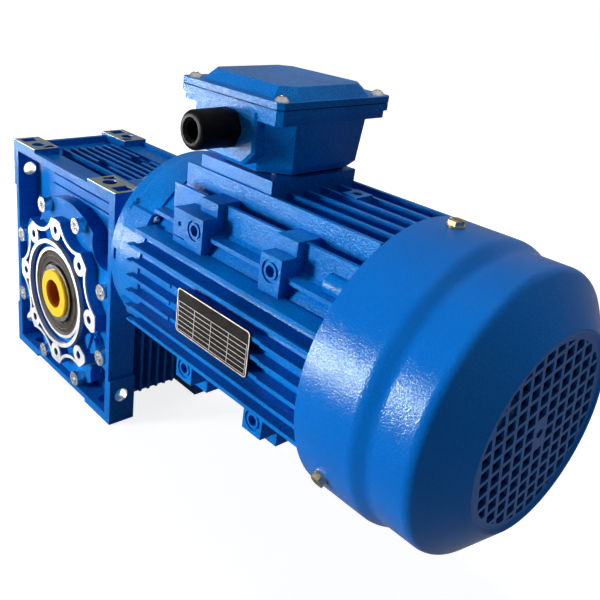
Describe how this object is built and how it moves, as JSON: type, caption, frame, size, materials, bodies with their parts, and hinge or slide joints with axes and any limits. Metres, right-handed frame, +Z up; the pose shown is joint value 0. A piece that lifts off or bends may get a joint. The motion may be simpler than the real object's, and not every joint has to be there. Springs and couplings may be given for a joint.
{
  "type": "worm gear motor",
  "caption": "Worm gear motor: square worm gearbox with a keyed hollow output shaft, coupled to a finned fan-cooled induction motor with a terminal box on top.",
  "frame": {"origin": "centre of the output hollow shaft, midway between the two output flanges", "axes": "+X along the motor axis from gearbox to fan, +Y along the output axis away from the capped side, +Z up from the foot pads to the terminal box"},
  "size_m": [0.4836, 0.17, 0.2996],
  "materials": {
    "blue_casting": "gloss paint on die cast aluminium",
    "blue_sheet": "gloss paint with a fine orange peel",
    "zinc_steel": "zinc plated",
    "shaft_steel": "ground",
    "lamination_steel": "stacked sheet",
    "bare_aluminium": "as cast",
    "copper_winding": "varnished",
    "bronze": "machined",
    "brass_terminal": "plain",
    "seal_rubber": "satin",
    "black_plastic": "satin",
    "yellow_plastic": "moulded",
    "plate_metal": "dark print with a bright border"
  },
  "bodies": {
    "housing": {"gear_housing": "blue_casting", "side_cover": "blue_casting", "cover_seal_ring": "seal_rubber", "cover_screws": "zinc_steel", "oil_level_plug": "blue_sheet", "oil_fill_plug": "zinc_steel", "output_bearing_outer_races": "shaft_steel", "output_oil_seals": "seal_rubber", "worm_bearing_outer_races": "shaft_steel", "worm_oil_seal": "seal_rubber", "worm_end_cap": "seal_rubber", "worm_retaining_ring": "shaft_steel", "input_flange": "blue_casting", "input_flange_screws": "zinc_steel", "motor_flange_bolts": "zinc_steel", "drive_end_shield": "blue_casting", "shield_screws": "zinc_steel", "motor_frame": "blue_casting", "stator_core": "lamination_steel", "stator_windings": "copper_winding", "motor_bearing_outer_races": "shaft_steel", "motor_shaft_seal": "seal_rubber", "bearing_spring_washer": "shaft_steel", "rear_end_shield": "blue_casting", "rear_shield_screws": "zinc_steel", "fan_cover": "blue_sheet", "fan_cover_screws": "zinc_steel", "terminal_box": "blue_casting", "box_gasket": "seal_rubber", "box_screws": "zinc_steel", "lid_gasket": "seal_rubber", "terminal_lid": "blue_casting", "lid_screws": "zinc_steel", "terminal_block": "black_plastic", "terminal_studs": "brass_terminal", "terminal_links": "brass_terminal", "gland_body": "black_plastic", "gland_nut": "black_plastic", "gland_seal": "seal_rubber", "name_plate": "plate_metal"},
    "rotor": {"worm_shaft": "shaft_steel", "worm_bearing_inner_races": "shaft_steel", "motor_shaft": "shaft_steel", "shaft_key": "shaft_steel", "rotor_core": "lamination_steel", "rotor_end_rings": "bare_aluminium", "motor_bearing_inner_races": "shaft_steel", "cooling_fan": "black_plastic", "fan_clip": "shaft_steel"},
    "output": {"output_shaft": "shaft_steel", "worm_wheel_rim": "bronze", "output_bearing_inner_races": "shaft_steel", "shaft_transport_cap": "yellow_plastic"}
  },
  "joints": [
    {"name": "motor_spin", "type": "hinge", "parent": "housing", "child": "rotor", "pos_m": [0, 0, 0.075], "axis": [1, 0, 0], "continuous": true},
    {"name": "output_spin", "type": "hinge", "parent": "housing", "child": "output", "pos_m": [0, 0, 0], "axis": [0, 1, 0], "continuous": true}
  ],
  "couplings": [
    {"joint": "output_spin", "follows": "motor_spin", "ratio": -0.033333}
  ]
}
